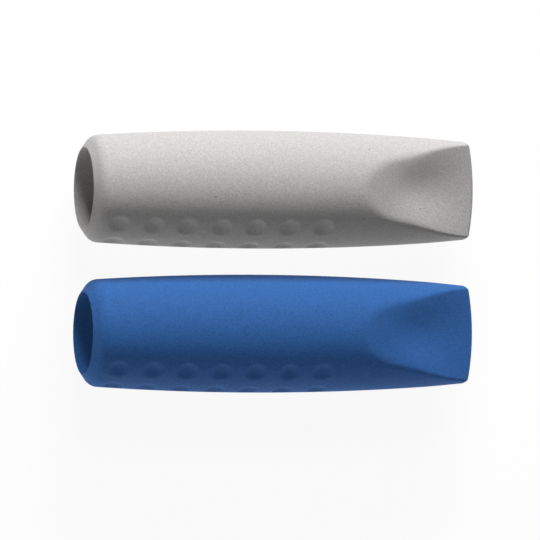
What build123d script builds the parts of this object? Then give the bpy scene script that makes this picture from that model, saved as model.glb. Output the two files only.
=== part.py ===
# Two slip-on eraser toppers for pencils, lying side by side.
# Each topper is one rubber moulding: a barrelled body with a bevelled rim and a blind bore for the pencil's end, a
# chisel end with a thumb hollow on both faces, and rows of shallow round grip dimples.
# Millimetres. +X runs from the open mouths to the chisel edges, +Z is up, and the toppers lie on Z = 0.

import os
from math import acos, cos, degrees, radians, sin, sqrt

from build123d import *

# Bore for the pencil
bore_diameter = 7.2
solid_tip = 15.0  # solid rubber from the bore's end to the chisel edge
lead_in = 0.55  # how much wider the mouth is than the bore, all round
lead_in_length = 4.0  # from the rim to where the bore runs straight
bore_end_round = 0.8

# Barrel
length = 40.0  # from the rim to the middle of the chisel edge
wall = 2.3  # round the bore, at the barrel's widest place
crest_from_rim = 17.5  # where the barrel is widest
barrel_arc_radius = 250.0  # the long curve of the barrel's side
rim_bevel = 0.85  # how far back from the rim the bevel runs
rim_corner_round = 1.2  # where the bevel meets the barrel
lip_width = 0.05  # the flat that the bevel leaves round the mouth

# Chisel end
hollow_length = 12.4  # from the hollow's point on the barrel to the chisel edge
chisel_thickness = 2.3
hollow_radius = 17.0  # across the hollow, halfway along it
hollow_dip = 0.13  # how far the hollow's middle lies below a straight ramp
edge_bow = 0.55  # how far the chisel edge's middle stands ahead of its corners
corner_round = 0.5
crease_round = 0.45

# Grip dimples
dimple_depth = 0.3
dimple_floor_diameter = 0.3  # the flat at the bottom of a dimple
dimple_wall_radius = 1.4  # the rounding from the flat up to the barrel
dimple_pitch = 3.48
first_dimple_from_rim = 2.7
last_dimple_to_hollow = 3.0  # least distance
dimple_rows_deg = (-41.0, -74.0)  # round the barrel, from straight up towards +Y
faces_deg = (0.0, 180.0)  # the far face is the near one, half a turn on

# The pair
gap_between_toppers = 2.6

# Sizes that follow
bore_radius = bore_diameter / 2
mouth_radius = bore_radius + lead_in
bore_depth = length - solid_tip
crest_radius = bore_radius + wall
lane_pitch = 2 * crest_radius + gap_between_toppers
hollow_start = length - hollow_length
dimple_row_length = hollow_start - last_dimple_to_hollow - first_dimple_from_rim
dimples_in_row = 1 + int(dimple_row_length / dimple_pitch)
dimple_floor_radius = dimple_floor_diameter / 2
dimple_margin = 0.1  # how far the cutter of a dimple stands out of the barrel
cut_margin = 1.0  # how far any other cut runs past the surface that it opens


def barrel_radius(from_rim):
    """Radius of the barrel at a distance from the rim."""
    from_crest = from_rim - crest_from_rim
    return crest_radius - barrel_arc_radius + sqrt(barrel_arc_radius**2 - from_crest**2)


tip_half_width = barrel_radius(length)
edge_radius = (tip_half_width**2 + edge_bow**2) / (2 * edge_bow)


def ramp_height(from_rim):
    """Height above the axis of the straight ramp down to the chisel edge, on the topper's middle line."""
    top = barrel_radius(hollow_start)
    return top + (chisel_thickness / 2 - top) * (from_rim - hollow_start) / hollow_length


def dimple_places(rim_centre):
    """Planes on the barrel's surface at the grip dimples, each facing straight out."""
    places = []
    for around in [radians(row + face) for face in faces_deg for row in dimple_rows_deg]:
        outward = Vector(0, sin(around), cos(around))
        for index in range(dimples_in_row):
            along = first_dimple_from_rim + index * dimple_pitch
            foot = rim_centre + Vector(along, 0, 0) + outward * barrel_radius(along)
            places.append(Plane(origin=foot, x_dir=(1, 0, 0), z_dir=outward))
    return places


# Cutter of one grip dimple: a shallow round dish, with the barrel's surface at height 0
with BuildPart() as dimple_cutter:
    wall_angle = degrees(acos(1 - (dimple_depth + dimple_margin) / dimple_wall_radius))
    with BuildSketch(Plane.XZ):
        with BuildLine():
            wall_centre = (dimple_floor_radius, dimple_wall_radius - dimple_depth)
            dish = CenterArc(wall_centre, dimple_wall_radius, 270, wall_angle)
            Polyline(dish @ 1, (0, dimple_margin), (0, -dimple_depth), dish @ 0)
        make_face()
    revolve(axis=Axis.Z)


def make_topper(lane):
    """One topper, with its axis along X at the given Y."""
    rim_centre = Vector(-length / 2, lane, crest_radius)
    level = Plane(origin=rim_centre)
    upright = Plane(origin=rim_centre, x_dir=(1, 0, 0), z_dir=(0, -1, 0))
    rim_face = Plane(origin=rim_centre, x_dir=(0, 1, 0), z_dir=(1, 0, 0))
    axis = Axis(rim_centre, (1, 0, 0))

    with BuildPart() as topper:
        # Solid barrel with a bevelled rim
        bevel_end = (rim_bevel, barrel_radius(rim_bevel))
        tip_corner = (length, tip_half_width)
        with BuildSketch(upright) as barrel_profile:
            with BuildLine():
                Polyline(tip_corner, (length, 0), (0, 0), (0, mouth_radius + lip_width), bevel_end)
                ThreePointArc(bevel_end, (crest_from_rim, crest_radius), tip_corner)
            make_face()
            rim_corner = barrel_profile.vertices().group_by(Axis.X)[1]
            fillet(rim_corner, rim_corner_round)
        revolve(axis=axis)

        # Bowed end of the chisel
        with BuildSketch(level):
            with Locations((length, 0)):
                Rectangle(4 * edge_bow, 4 * tip_half_width)
            with Locations((length - edge_radius, 0)):
                Circle(edge_radius, mode=Mode.SUBTRACT)
        extrude(amount=2 * crest_radius, both=True, mode=Mode.SUBTRACT)

        # Thumb hollow on both faces of the chisel: straight across at its two ends and round halfway along
        half_width = crest_radius + cut_margin
        round_rise = hollow_radius - sqrt(hollow_radius**2 - half_width**2)
        stations = (
            (hollow_start - 2 * cut_margin, 0, 0),
            (hollow_start + hollow_length / 2, hollow_dip, round_rise),
            (length + 2 * cut_margin, 0, 0),
        )
        for face in (1, -1):
            for from_rim, dip, rise in stations:
                middle = face * (ramp_height(from_rim) - dip)
                side = middle + face * rise
                far = face * 2 * crest_radius
                with BuildSketch(rim_face.offset(from_rim)):
                    with BuildLine():
                        if rise:
                            ThreePointArc((-half_width, side), (0, middle), (half_width, side))
                        else:
                            Line((-half_width, middle), (half_width, middle))
                        Polyline((half_width, side), (half_width, far), (-half_width, far), (-half_width, side))
                    make_face()
            loft(mode=Mode.SUBTRACT)

        # Rounded corners and creases of the chisel
        end_edges = topper.faces().sort_by(Axis.X)[-1].edges().sort_by(Axis.Y)
        fillet((end_edges[0], end_edges[-1]), corner_round)
        hollow_faces = topper.faces().filter_by(GeomType.BSPLINE).sort_by(SortBy.AREA)[-2:]
        fillet(hollow_faces.edges(), min(crease_round, 0.4 * chisel_thickness))

        # Grip dimples
        with Locations(dimple_places(rim_centre)):
            add(dimple_cutter, mode=Mode.SUBTRACT)

        # Blind bore for the pencil, a little wider at its mouth and rounded at its end
        with BuildSketch(upright) as bore_profile:
            with BuildLine():
                Polyline(
                    (-cut_margin, 0),
                    (-cut_margin, mouth_radius),
                    (0, mouth_radius),
                    (lead_in_length, bore_radius),
                    (bore_depth, bore_radius),
                    (bore_depth, 0),
                    close=True,
                )
            make_face()
            end_corner = bore_profile.vertices().group_by(Axis.X)[-1].sort_by(Axis.Y)[-1]
            fillet(end_corner, bore_end_round)
        revolve(axis=axis, mode=Mode.SUBTRACT)

    return topper


os.makedirs("parts", exist_ok=True)
for name, lane in (("grey_topper", lane_pitch / 2), ("blue_topper", -lane_pitch / 2)):
    topper = make_topper(lane)
    topper.part.label = name
    export_step(topper.part, f"parts/{name}.step")
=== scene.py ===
# %% [markdown]
# # Two eraser toppers for pencils
# A topper is a rubber cap that slips over the blunt end of a pencil. This one is moulded in one piece: a barrelled
# body, a round blind bore for the pencil, a chisel end with a thumb hollow on both faces, and rows of shallow dimples
# for the grip. A light grey topper and a blue one lie side by side.
#
# The CAD model comes in first, as a fixed frame in metres. Every piece made here goes where the frame says.

# %% Load the frame
import math

import bmesh
import bpy
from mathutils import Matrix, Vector


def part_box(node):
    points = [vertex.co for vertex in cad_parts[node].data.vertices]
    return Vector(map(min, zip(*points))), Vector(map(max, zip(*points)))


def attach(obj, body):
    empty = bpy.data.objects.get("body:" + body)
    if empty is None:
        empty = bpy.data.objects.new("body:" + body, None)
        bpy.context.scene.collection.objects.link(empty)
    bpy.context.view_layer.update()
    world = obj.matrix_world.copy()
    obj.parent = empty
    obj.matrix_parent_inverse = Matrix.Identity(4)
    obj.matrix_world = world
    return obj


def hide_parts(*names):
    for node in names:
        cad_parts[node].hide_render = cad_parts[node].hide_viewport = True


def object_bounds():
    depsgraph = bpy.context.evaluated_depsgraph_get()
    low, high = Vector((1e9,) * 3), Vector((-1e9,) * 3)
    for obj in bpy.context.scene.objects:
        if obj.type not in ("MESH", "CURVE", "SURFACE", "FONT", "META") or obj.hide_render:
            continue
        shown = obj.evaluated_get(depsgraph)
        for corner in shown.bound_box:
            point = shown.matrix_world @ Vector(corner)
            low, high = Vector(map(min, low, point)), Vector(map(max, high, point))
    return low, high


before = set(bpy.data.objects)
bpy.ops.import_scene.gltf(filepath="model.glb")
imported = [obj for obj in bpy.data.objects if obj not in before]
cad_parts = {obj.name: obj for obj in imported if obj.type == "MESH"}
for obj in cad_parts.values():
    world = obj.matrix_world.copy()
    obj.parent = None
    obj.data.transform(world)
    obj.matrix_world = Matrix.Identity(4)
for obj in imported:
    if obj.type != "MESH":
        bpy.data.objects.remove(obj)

cad_low, cad_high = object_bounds()

# %% [markdown]
# ## The sizes
# The frame gives the size and place of each topper, and the rest of its sizes are listed here in millimetres. The
# two caps come out of one mould design, so they share one list. Keeping sizes by name, apart from the code that uses
# them, is what makes a shape easy to change later.

# %% Sizes
MM = 0.001

grey_low, grey_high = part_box("grey_topper")
blue_low, blue_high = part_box("blue_topper")
length = grey_high.x - grey_low.x
crest_radius = (grey_high.z - grey_low.z) / 2

moulding_sizes = {
    "Length": length,
    "Rim from origin": grey_low.x,
    "Crest radius": crest_radius,
    "Crest from rim": 17.5 * MM,
    "Side curve": 250.0 * MM,
    "Bevel depth": 0.85 * MM,
    "Bevel corner": 1.2 * MM,
    "Bore radius": 3.6 * MM,
    "Bore depth": 25.0 * MM,
    "Bore end round": 0.8 * MM,
    "Lead-in": 0.46 * MM,
    "Lead-in length": 4.0 * MM,
    "Mouth round": 0.1 * MM,
    "Hollow length": 12.4 * MM,
    "Hollow rise": 0.58 * MM,
    "Hollow dip": 0.13 * MM,
    "Chisel thickness": 2.3 * MM,
    "Edge bow": 0.55 * MM,
    "Nose round": 0.45 * MM,
    "Crease softness": 0.55 * MM,
    "Point softness": 0.35 * MM,
    "First dimple": 2.7 * MM,
    "Dimple pitch": 3.48 * MM,
    "Dimples in a row": 7.0,
    "Dimple radius": 1.05 * MM,
    "Dimple depth": 0.30 * MM,
    "Dimple softness": 0.03 * MM,
    "Upper row": math.radians(-41.0),
    "Lower row": math.radians(-74.0),
}
print(f"each topper: {length / MM:.1f} mm long, {2 * crest_radius / MM:.1f} mm thick")

# %% [markdown]
# ## Arithmetic in a node tree
# A geometry node tree can work out a number for every point of a mesh, which Blender calls a field. Each sum or
# product is a Math node, so a long formula is a long row of nodes. The small class below lets the script write the
# formula in the usual way and makes the nodes as it goes.

# %% Fields
class Field:
    """A number for every point. Arithmetic on fields adds Math nodes to their tree."""

    def __init__(self, socket):
        self.socket = socket

    def __add__(self, other):
        return math_node("ADD", self, other)

    def __sub__(self, other):
        return math_node("SUBTRACT", self, other)

    def __rsub__(self, other):
        return math_node("SUBTRACT", other, self)

    def __mul__(self, other):
        return math_node("MULTIPLY", self, other)

    def __truediv__(self, other):
        return math_node("DIVIDE", self, other)

    def __rtruediv__(self, other):
        return math_node("DIVIDE", other, self)

    __radd__ = __add__
    __rmul__ = __mul__


def math_node(operation, *values):
    """The result of one Math node on fields and plain numbers."""
    tree = next(value for value in values if isinstance(value, Field)).socket.id_data
    node = tree.nodes.new("ShaderNodeMath")
    node.operation = operation
    for socket, value in zip(node.inputs, values):
        if isinstance(value, Field):
            tree.links.new(value.socket, socket)
        else:
            socket.default_value = value
    return Field(node.outputs[0])


def square(value):
    return value * value


def root(value):
    return math_node("SQRT", value)


def sine(value):
    return math_node("SINE", value)


def cosine(value):
    return math_node("COSINE", value)


def limited(value, low, high):
    """A field kept between two limits."""
    return math_node("MINIMUM", math_node("MAXIMUM", value, low), high)


def eased(share):
    """A share from 0 to 1 that starts and ends gently."""
    return square(share) * (3.0 - 2.0 * share)


print("fields ready")

# %% [markdown]
# ## The moulding as a rule
# Each topper could be lathed from a profile and then cut, but booleans leave hard creases, and moulded rubber has
# none. So the whole skin is one grid of points, and a rule puts each point in its place. A column of the grid is a
# ring round the topper. The columns start at the middle of the bore's end, run out along the bore, turn over the
# mouth and the rim, go along the barrel, and close at the chisel edge.
#
# This first part of the rule is the lathe profile. Each stretch of it takes a number of columns, and adds its own
# change to how far along the axis the ring is and how wide it is. The bore opens a little towards its mouth, which
# helps a pencil in, and the rim is bevelled so far that only a thin lip is left. The bevel meets the barrel's long
# curve in a soft round corner.

# %% Profile of the moulding
stretches = {  # how many columns each stretch of the profile takes
    "bore end": 8,
    "bore end round": 6,
    "bore wall": 24,
    "lead-in": 10,
    "mouth round": 6,
    "rim bevel": 8,
    "rim corner": 10,
    "barrel": 290,
    "nose round": 10,
    "edge face": 6,
}
column_count = 1 + sum(stretches.values())
points_around = 224
quarter_turn = math.pi / 2


def barrel_radius(sizes, along):
    """Radius of the long curve of the barrel's side."""
    from_crest = along - sizes["Crest from rim"]
    return sizes["Crest radius"] - sizes["Side curve"] + root(square(sizes["Side curve"]) - square(from_crest))


def stretch_shares(column):
    """How much of each stretch of the profile a column has behind it, from 0 to 1."""
    shares, first = {}, 0
    for name, columns in stretches.items():
        shares[name] = limited((column - first) / columns, 0.0, 1.0)
        first += columns
    return shares


def lathe_profile(sizes, share):
    """Place along the axis and radius of each ring of the moulding."""
    bore, end_round = sizes["Bore radius"], sizes["Bore end round"]
    mouth, nose = sizes["Mouth round"], sizes["Nose round"]
    depth, corner = sizes["Bevel depth"], sizes["Bevel corner"]
    lip = bore + sizes["Lead-in"] + mouth
    bevel_rise = barrel_radius(sizes, depth) - lip
    steep = math_node("ARCTAN2", bevel_rise, depth)
    slope = math_node("ARCSINE", (sizes["Crest from rim"] - depth) / sizes["Side curve"])
    corner_turn = share["rim corner"] * (steep - slope)
    cut_back = corner * math_node("TANGENT", (steep - slope) * 0.5)
    barrel_start = depth + cut_back * cosine(slope)
    start_radius = barrel_radius(sizes, barrel_start)
    on_barrel = barrel_start + share["barrel"] * (sizes["Length"] - nose - barrel_start)

    end_turn = share["bore end round"] * quarter_turn
    mouth_turn = share["mouth round"] * quarter_turn
    nose_turn = share["nose round"] * quarter_turn

    along = sizes["Bore depth"] - end_round * (1.0 - cosine(end_turn))
    along = along - share["bore wall"] * (sizes["Bore depth"] - end_round - sizes["Lead-in length"])
    along = along - share["lead-in"] * (sizes["Lead-in length"] - mouth)
    along = along - mouth * sine(mouth_turn)
    along = along + share["rim bevel"] * (depth - cut_back * cosine(steep))
    along = along + corner * (sine(steep) - sine(steep - corner_turn))
    along = along + on_barrel - barrel_start
    along = along + nose * sine(nose_turn)

    radius = share["bore end"] * (bore - end_round) + end_round * sine(end_turn)
    radius = radius + share["lead-in"] * sizes["Lead-in"]
    radius = radius + mouth * (1.0 - cosine(mouth_turn))
    radius = radius + share["rim bevel"] * (bevel_rise - cut_back * sine(steep))
    radius = radius + corner * (cosine(steep - corner_turn) - cosine(steep))
    radius = radius + barrel_radius(sizes, on_barrel) - start_radius
    radius = radius - nose * (1.0 - cosine(nose_turn))
    return along, radius


print(f"{column_count} rings of {points_around} points")

# %% [markdown]
# ## Grip dimples and the thumb hollow
# Fingers grip the topper at rows of shallow round dimples. They stand at an even pitch, so a point only has to find
# the dimple that is nearest to it: round off its distance along the row, and fold the barrel so that both faces share
# one sum. The dimple then lowers the point along a shallow bowl, and a smooth maximum rounds off the bowl's edge.
#
# The hollow is a height that the skin may not pass. It falls along a straight ramp to the chisel edge, is dished
# along its middle in a valley that widens towards the edge, and is flat across at both ends.

# %% Dimples and hollow
dish_limit = 2.0  # the most that a point counts as away from a dimple, in squared radii
deepest_from_edge = 5.7 * MM  # where the dish of the hollow is deepest
reach_to_barrel, reach_to_edge = 5.3 * MM, 7.9 * MM  # how far the dish reaches from there
valley_at_deepest = 4.1 * MM  # half the width of the valley
valley_growth = 0.35  # how fast the valley widens towards the edge
valley_from = -2.0 * MM  # where it starts to widen, seen from the deepest place
bow_reach = 5.0 * MM  # how far back from the edge the bow is felt


def dimple_drop(sizes, along, around, radius):
    """How far the nearest grip dimple lowers a point of the barrel."""
    nearest = math_node("ROUND", (along - sizes["First dimple"]) / sizes["Dimple pitch"])
    nearest = limited(nearest, 0.0, sizes["Dimples in a row"] - 1.0)
    along_off = along - sizes["First dimple"] - nearest * sizes["Dimple pitch"]

    folded = around - math.pi * math_node("GREATER_THAN", around, 0.0)
    between_rows = (sizes["Upper row"] + sizes["Lower row"]) * 0.5
    half_spread = (sizes["Upper row"] - sizes["Lower row"]) * 0.5
    around_off = (math_node("ABSOLUTE", folded - between_rows) - half_spread) * radius

    from_middle = (square(along_off) + square(around_off)) / square(sizes["Dimple radius"])
    dish = sizes["Dimple depth"] * (1.0 - math_node("MINIMUM", from_middle, dish_limit))
    return math_node("SMOOTH_MAX", dish, 0.0, sizes["Dimple softness"])


def hollow_height(sizes, along, across):
    """Height above the axis that the hollow leaves."""
    start = sizes["Length"] - sizes["Hollow length"]
    top = barrel_radius(sizes, start)
    ramp = top + (sizes["Chisel thickness"] * 0.5 - top) * (along - start) / sizes["Hollow length"]
    from_deepest = along - sizes["Length"] + deepest_from_edge
    dish = limited(from_deepest / reach_to_barrel, -1.0, 0.0) + limited(from_deepest / reach_to_edge, 0.0, 1.0)
    dish = square(cosine(dish * quarter_turn))
    valley = valley_at_deepest + valley_growth * limited(from_deepest, valley_from, reach_to_edge)
    flank = square(sine(limited(across / valley, -1.0, 1.0) * quarter_turn))
    return ramp + dish * (sizes["Hollow rise"] * flank - sizes["Hollow dip"])


def edge_setback(sizes, along, across):
    """How far the bow of the chisel edge sets a point back."""
    tip_radius = barrel_radius(sizes, sizes["Length"])
    reach = limited((along - sizes["Length"]) / bow_reach + 1.0, 0.0, 1.0)
    return sizes["Edge bow"] * square(across / tip_radius) * eased(reach)


print("dimples, hollow and bow have their rules")

# %% [markdown]
# ## The whole skin
# Here the rules meet. The profile gives a ring, the dimples lower it, the bow sets it back, and the hollow presses it
# down. A smooth minimum of the hollow's height and the barrel's own height gives the soft crease of moulded rubber in
# one step. It is a little sharper on the middle line, at the hollow's point, than at the sides.

# %% Rule of the skin
softness_reach = 4.0 * MM  # how far from the middle line the crease is at its softest
most_softness = 0.5  # of the height that the hollow leaves


def skin_point(sizes, column, around):
    """Place of a point of the skin: along the axis from the rim, across it and above it."""
    share = stretch_shares(column)
    along, radius = lathe_profile(sizes, share)
    on_barrel = math_node("GREATER_THAN", share["barrel"], 0.0)
    radius = radius - on_barrel * dimple_drop(sizes, along, around, radius)
    across = radius * sine(around)
    height = radius * cosine(around)

    along = along - on_barrel * edge_setback(sizes, along, across)
    nose_drop = sizes["Nose round"] * (1.0 - cosine(share["nose round"] * quarter_turn))
    ceiling = (hollow_height(sizes, along, across) - nose_drop) * (1.0 - share["edge face"])
    to_side = limited(math_node("ABSOLUTE", across) / softness_reach, 0.0, 1.0)
    softness = sizes["Point softness"] + (sizes["Crease softness"] - sizes["Point softness"]) * eased(to_side)
    softness = math_node("MINIMUM", softness, ceiling * most_softness)
    pressed = math_node("SMOOTH_MIN", math_node("ABSOLUTE", height), ceiling, softness)
    return along, across, math_node("SIGN", height) * pressed


print("the skin has its rule")

# %% [markdown]
# ## The tree
# A Grid node gives a flat sheet of points, and Set Position rolls it up into the moulding. Rolling up a sheet leaves
# a seam under the topper and pinched rings at the bore's end and at the chisel edge, so Merge by Distance welds the
# points that meet there. Every size is a named input of the tree, and so is the lane, the Y of the topper's axis.

# %% Moulding tree
size_names = [*moulding_sizes, "Lane"]
merge_distance = 0.001 * MM


def add_node(tree, kind, **settings):
    """A new node with its settings."""
    node = tree.nodes.new(kind)
    for name, value in settings.items():
        setattr(node, name, value)
    return node


def moulding_tree():
    """The node tree that makes a topper, with a named input for every size."""
    tree = bpy.data.node_groups.new("topper_moulding", "GeometryNodeTree")
    for name in size_names:
        tree.interface.new_socket(name=name, in_out="INPUT", socket_type="NodeSocketFloat")
    tree.interface.new_socket(name="Rubber", in_out="INPUT", socket_type="NodeSocketMaterial")
    tree.interface.new_socket(name="Geometry", in_out="OUTPUT", socket_type="NodeSocketGeometry")
    inputs = add_node(tree, "NodeGroupInput")
    sizes = {name: Field(inputs.outputs[name]) for name in size_names}

    # The sheet has sides of 1, with its middle at the origin
    sheet = add_node(tree, "GeometryNodeMeshGrid")
    for socket, value in zip(sheet.inputs, (1.0, 1.0, column_count, points_around + 1)):
        socket.default_value = value
    on_sheet = add_node(tree, "ShaderNodeSeparateXYZ")
    tree.links.new(add_node(tree, "GeometryNodeInputPosition").outputs[0], on_sheet.inputs[0])
    column = math_node("ROUND", (Field(on_sheet.outputs["X"]) + 0.5) * (column_count - 1.0))
    around = Field(on_sheet.outputs["Y"]) * (2.0 * math.pi)

    along, across, height = skin_point(sizes, column, around)
    spot = (along + sizes["Rim from origin"], across + sizes["Lane"], height + sizes["Crest radius"])
    place = add_node(tree, "ShaderNodeCombineXYZ")
    for axis, value in zip("XYZ", spot):
        tree.links.new(value.socket, place.inputs[axis])
    rolled = add_node(tree, "GeometryNodeSetPosition")
    tree.links.new(sheet.outputs["Mesh"], rolled.inputs["Geometry"])
    tree.links.new(place.outputs[0], rolled.inputs["Position"])
    welded = add_node(tree, "GeometryNodeMergeByDistance")
    welded.inputs["Distance"].default_value = merge_distance
    smooth = add_node(tree, "GeometryNodeSetShadeSmooth")
    realized = add_node(tree, "GeometryNodeRealizeInstances")
    rubbered = add_node(tree, "GeometryNodeSetMaterial")
    tree.links.new(inputs.outputs["Rubber"], rubbered.inputs["Material"])
    chain = [rolled, welded, smooth, realized, rubbered, add_node(tree, "NodeGroupOutput")]
    for before, after in zip(chain, chain[1:]):
        tree.links.new(before.outputs[0], after.inputs[0])
    return tree


moulding = moulding_tree()
print(f"{moulding.name}: {len(moulding.nodes)} nodes, {len(size_names) + 1} inputs")

# %% [markdown]
# ## Eraser rubber
# Eraser rubber is dull: it is full of chalky filler, so light scatters at its surface and the gloss is wide and
# weak. Up close it has a fine even grain from the mould, faint clouding, and a few dark crumbs. The grain is a bump
# from a fine noise, the clouding is a slow noise on the colour, and the crumbs are the cores of a sparse Voronoi
# pattern. All of them are set on Object coordinates, in metres, so that their size is right.

# %% Rubber
cloud_scale, grain_scale, crumb_scale = 900.0, 6000.0, 500.0  # per metre
grain_depth, grain_strength = 0.05 * MM, 0.5
crumb_radius = 0.09 * MM
noise_detail = 3.0
dullness = 0.7  # roughness of the surface


def rubber(name, colour, gloss, cloud, grain, crumb_darkness):
    """A matte eraser rubber."""
    material = bpy.data.materials.new(name)
    material.use_nodes = True
    tree = material.node_tree
    shader = tree.nodes["Principled BSDF"]
    shader.inputs["Roughness"].default_value = dullness
    shader.inputs["Specular IOR Level"].default_value = gloss
    where = add_node(tree, "ShaderNodeTexCoord").outputs["Object"]

    def noise(scale):
        node = add_node(tree, "ShaderNodeTexNoise")
        node.inputs["Scale"].default_value = scale
        node.inputs["Detail"].default_value = noise_detail
        tree.links.new(where, node.inputs["Vector"])
        return node.outputs["Fac"]

    def uneven(scale, amount):
        """A share above or below nothing, from a noise."""
        return (Field(noise(scale)) - 0.5) * (2.0 * amount)

    crumbs = add_node(tree, "ShaderNodeTexVoronoi")
    crumbs.inputs["Scale"].default_value = crumb_scale
    tree.links.new(where, crumbs.inputs["Vector"])
    crumb = math_node("LESS_THAN", Field(crumbs.outputs["Distance"]), crumb_radius * crumb_scale)
    shade = 1.0 + uneven(cloud_scale, cloud) + uneven(grain_scale, grain)
    shade = shade * (1.0 - crumb_darkness * crumb)
    shaded = add_node(tree, "ShaderNodeVectorMath", operation="SCALE")
    shaded.inputs[0].default_value = colour
    tree.links.new(shade.socket, shaded.inputs["Scale"])
    tree.links.new(shaded.outputs[0], shader.inputs["Base Color"])

    bump = add_node(tree, "ShaderNodeBump")
    bump.inputs["Strength"].default_value = grain_strength
    bump.inputs["Distance"].default_value = grain_depth
    tree.links.new(noise(grain_scale), bump.inputs["Height"])
    tree.links.new(bump.outputs["Normal"], shader.inputs["Normal"])
    return material


grey_rubber = rubber("matte_grey_rubber", colour=(0.54, 0.53, 0.525), gloss=0.25,
                     cloud=0.04, grain=0.36, crumb_darkness=0.5)
blue_rubber = rubber("matte_blue_rubber", colour=(0.032, 0.118, 0.350), gloss=0.08,
                     cloud=0.06, grain=0.40, crumb_darkness=0.0)
print("rubbers:", grey_rubber.name, blue_rubber.name)

# %% [markdown]
# ## Mould the toppers
# Each topper is an empty mesh object with the tree as its modifier. The inputs are set by their identifiers, and
# then the result is turned into a plain mesh, which takes the CAD node's place and moves with its body.

# %% Toppers
def mould(name, body, node, material, lane):
    """One topper as a plain mesh, in place of its CAD node."""
    piece = bpy.data.objects.new(name, bpy.data.meshes.new(name))
    bpy.context.scene.collection.objects.link(piece)
    modifier = piece.modifiers.new("moulding", "NODES")
    modifier.node_group = moulding
    values = {**moulding_sizes, "Lane": lane, "Rubber": material}
    for socket in moulding.interface.items_tree:
        if socket.in_out == "INPUT":
            modifier[socket.identifier] = values[socket.name]

    evaluated = piece.evaluated_get(bpy.context.evaluated_depsgraph_get())
    skin = bpy.data.meshes.new_from_object(evaluated)
    piece.modifiers.clear()
    piece.data = skin
    skin.name = name
    shape = bmesh.new()
    shape.from_mesh(skin)
    volume = shape.calc_volume(signed=True)
    open_edges = sum(1 for edge in shape.edges if not edge.is_manifold)
    triangles = sum(len(face.verts) - 2 for face in shape.faces)
    print(f"{name}: {triangles} triangles, {volume / MM**3:.1f} mm3, {open_edges} open edges")
    shape.free()

    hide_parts(node)
    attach(piece, body)
    return piece


grey_skin = mould("grey_topper_skin", "grey", "grey_topper", grey_rubber,
                  (grey_low.y + grey_high.y) / 2)
blue_skin = mould("blue_topper_skin", "blue", "blue_topper", blue_rubber,
                  (blue_low.y + blue_high.y) / 2)

# %% [markdown]
# ## Floor
# Small goods are often photographed on a light table: a pale sheet that is lit from below, so that the undersides of
# the goods are not black. To the camera the sheet is white with a faint shadow. The light that comes up through it is
# made by lamps further on, so the sheet itself throws no light on the toppers.

# %% Floor
floor_size = 1.2
white_strength = 0.93
shadow_colour = (0.10, 0.10, 0.10, 1.0)


def white_sheet():
    """A glowing white with a little of its own shade."""
    material = bpy.data.materials.new("white_sheet")
    material.use_nodes = True
    tree = material.node_tree
    tree.nodes.clear()
    shade = add_node(tree, "ShaderNodeBsdfDiffuse")
    shade.inputs["Color"].default_value = shadow_colour
    glow = add_node(tree, "ShaderNodeEmission")
    glow.inputs["Strength"].default_value = white_strength
    both = add_node(tree, "ShaderNodeAddShader")
    output = add_node(tree, "ShaderNodeOutputMaterial")
    tree.links.new(shade.outputs[0], both.inputs[0])
    tree.links.new(glow.outputs[0], both.inputs[1])
    tree.links.new(both.outputs[0], output.inputs["Surface"])
    return material


half = floor_size / 2
corners = [(-half, -half, 0), (half, -half, 0), (half, half, 0), (-half, half, 0)]
floor_mesh = bpy.data.meshes.new("floor")
floor_mesh.from_pydata(corners, [], [(0, 1, 2, 3)])
floor_mesh.materials.append(white_sheet())
floor = bpy.data.objects.new("floor", floor_mesh)
floor.visible_diffuse = False  # so that it throws no light on the toppers
bpy.context.scene.collection.objects.link(floor)
print(f"floor: {floor_size} m square")

# %% [markdown]
# ## Light
# A long soft box stands low behind the grey topper, so that the far flanks are bright and the near flanks are in
# shade. A weak one above it keeps the far edges from going dark, and a weak one at the near left opens up the shade.

# %% Soft boxes
middle = (cad_low + cad_high) / 2
lamp_distance = 0.45
key_size, fill_size = (0.24, 0.10), (0.20, 0.10)


def add_lamp(name, size, power, place, away):
    """A rectangular lamp that shines against the direction away."""
    lamp = bpy.data.lights.new(name, "AREA")
    lamp.shape = "RECTANGLE"
    lamp.size, lamp.size_y = size
    lamp.energy = power
    box = bpy.data.objects.new(name, lamp)
    box.location = place
    box.rotation_euler = away.to_track_quat("Z", "Y").to_euler()
    bpy.context.scene.collection.objects.link(box)
    print(f"{name}: {power:.2f} W")
    return box


def soft_box(name, azimuth, elevation, power, size=fill_size):
    """A lamp that faces the toppers. Azimuth 0 stands on the +Y side and 90 on the +X side."""
    turn, rise = math.radians(azimuth), math.radians(elevation)
    away = Vector((math.sin(turn) * math.cos(rise), math.cos(turn) * math.cos(rise), math.sin(rise)))
    return add_lamp(name, size, power, middle + away * lamp_distance, away)


soft_box("key", azimuth=2.0, elevation=26.0, power=2.1, size=key_size)
soft_box("top", azimuth=0.0, elevation=55.0, power=0.35)
soft_box("side_fill", azimuth=235.0, elevation=16.0, power=0.20)

# %% [markdown]
# In the photograph neither topper shades or tints the other, as if each had been on the light table by itself. Light
# linking does that: each topper has lamps of its own under the sheet, one as broad as the sheet and one under its
# near side, which light that topper alone and pass the other. The shades of the blue topper also differ less than
# those of the grey one, so its near lamp is stronger, and a weak lamp at each end lifts its mouth and its hollow.

# %% Lamps for one topper
table_depth = 0.05
table_light = 0.60  # where 1 is white


def only_for(piece, lamp):
    """Keep a lamp to one topper, with nothing else in its way."""
    alone = bpy.data.collections.new(lamp.name)
    alone.objects.link(piece)
    lamp.light_linking.receiver_collection = alone
    lamp.light_linking.blocker_collection = alone


def table_lamp(name):
    """A lamp under the sheet that faces up."""
    power = table_light * math.pi * floor_size**2
    return add_lamp(name, (floor_size, floor_size), power, Vector((0, 0, -table_depth)), Vector((0, 0, -1)))


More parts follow.
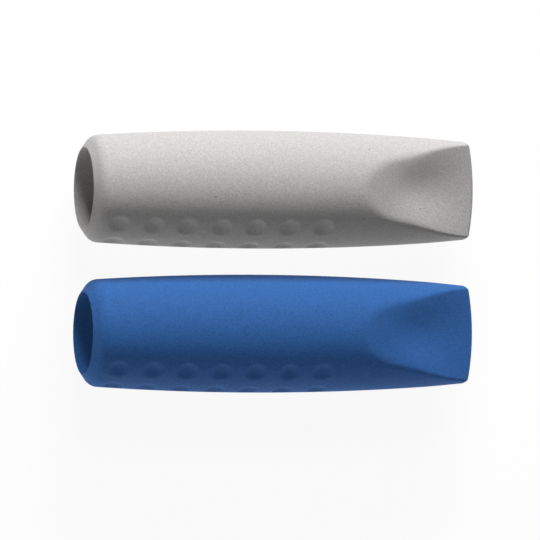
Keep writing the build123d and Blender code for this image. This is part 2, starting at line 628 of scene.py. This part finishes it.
for piece, near_power in ((grey_skin, 0.32), (blue_skin, 0.60)):
    only_for(piece, table_lamp(f"{piece.name}_table"))
    only_for(piece, soft_box(f"{piece.name}_near", azimuth=180.0, elevation=-20.0, power=near_power))
only_for(blue_skin, soft_box("end_fill", azimuth=90.0, elevation=20.0, power=0.56))
only_for(blue_skin, soft_box("mouth_fill", azimuth=270.0, elevation=28.0, power=0.35))
blue_skin.visible_diffuse = False  # so that it throws no blue light on the grey one

# %% [markdown]
# ## Room
# The room gives almost no light of its own. It is white only where the camera sees it, directly or in a gloss.

# %% Room
room_light = 0.02
world = bpy.data.worlds.new("studio")
world.use_nodes = True
bpy.context.scene.world = world
sky = world.node_tree.nodes["Background"]
sky.inputs["Color"].default_value = (1.0, 1.0, 1.0, 1.0)
path = add_node(world.node_tree, "ShaderNodeLightPath")
camera_ray, glossy_ray, through_ray = (Field(path.outputs[f"Is {kind} Ray"])
                                       for kind in ("Camera", "Glossy", "Transmission"))
seen = math_node("MAXIMUM", math_node("MAXIMUM", camera_ray, glossy_ray), through_ray)
world.node_tree.links.new((seen * (1.0 - room_light) + room_light).socket, sky.inputs["Strength"])
print(f"room light {room_light}")

# %% [markdown]
# ## Camera
# The photograph looks almost straight down on the toppers, from a little towards their open ends, so that the
# mouths show as narrow ellipses. A very long lens from far away keeps that angle the same at both ends.

# %% Camera
tilt = math.radians(14.6)
roll = math.radians(-0.3)
view_width = 54.0 * MM
camera_distance = 1500.0 * MM
sensor_width = 36.0  # in millimetres, as Blender counts it
frame_right, frame_up = -0.75 * MM, -0.83 * MM

right = Vector((math.cos(tilt), 0, math.sin(tilt)))
towards_camera = Vector((-math.sin(tilt), 0, math.cos(tilt)))
lens = bpy.data.cameras.new("camera")
lens.sensor_width = sensor_width
lens.lens = sensor_width * camera_distance / view_width
camera = bpy.data.objects.new("camera", lens)
camera.location = middle + right * frame_right + Vector((0, frame_up, 0)) + towards_camera * camera_distance
camera.rotation_euler = (0, -tilt, 0)
camera.rotation_euler.rotate_axis("Z", -roll)
bpy.context.scene.collection.objects.link(camera)
bpy.context.scene.camera = camera
bpy.context.scene.view_settings.view_transform = "Standard"
print(f"lens {lens.lens:.0f} mm at {camera_distance / MM:.0f} mm")
